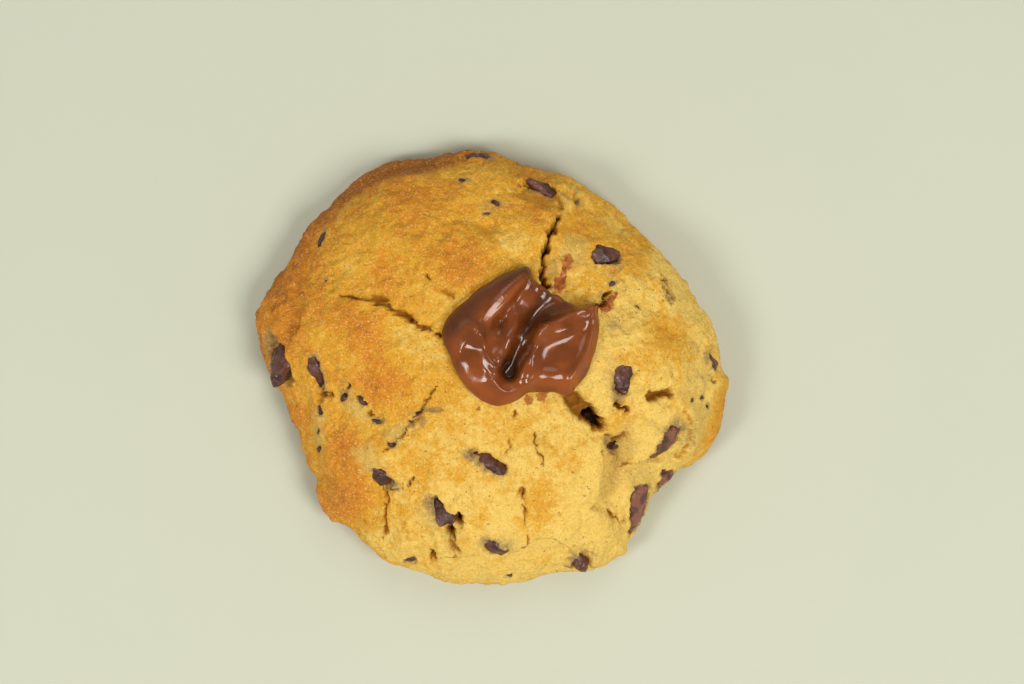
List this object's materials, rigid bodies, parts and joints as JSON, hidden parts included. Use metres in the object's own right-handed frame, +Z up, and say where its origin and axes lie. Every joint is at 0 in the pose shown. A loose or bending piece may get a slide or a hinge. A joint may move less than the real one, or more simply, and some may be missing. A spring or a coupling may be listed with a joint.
{
  "type": "cookie",
  "caption": "Thick domed chocolate-chunk cookie on a flat underside, with cracks and folds in its top and a glossy dollop of milk chocolate.",
  "frame": {"origin": "middle of the underside, on the surface that the cookie lies on", "axes": "+Z up out of the domed top, +X to the right along the longest way across, +Y away from the viewer who looks at the front"},
  "size_m": [0.09, 0.083, 0.0296],
  "materials": {
    "dough": "baked, golden, matte and finely crumbed",
    "milk_chocolate": "smooth and glossy",
    "chocolate_chunk": "dark, dull to half gloss"
  },
  "bodies": {
    "root": {"cookie_dough": "dough", "chocolate_dollop": "milk_chocolate", "chunk_left_edge": "chocolate_chunk", "chunk_left_bar": "chocolate_chunk", "chunk_top_bar": "chocolate_chunk", "chunk_upper_right": "chocolate_chunk", "chunk_right": "chocolate_chunk", "chunk_lower_right": "chocolate_chunk", "chunk_rim_right": "chocolate_chunk", "chunk_rim_corner": "chocolate_chunk", "chunk_front_middle": "chocolate_chunk", "chunk_front_left": "chocolate_chunk", "chunk_front_pair": "chocolate_chunk", "chunk_front_low": "chocolate_chunk", "chunk_right_edge": "chocolate_chunk", "chunk_back_edge": "chocolate_chunk", "chunk_front_edge": "chocolate_chunk"}
  },
  "joints": []
}
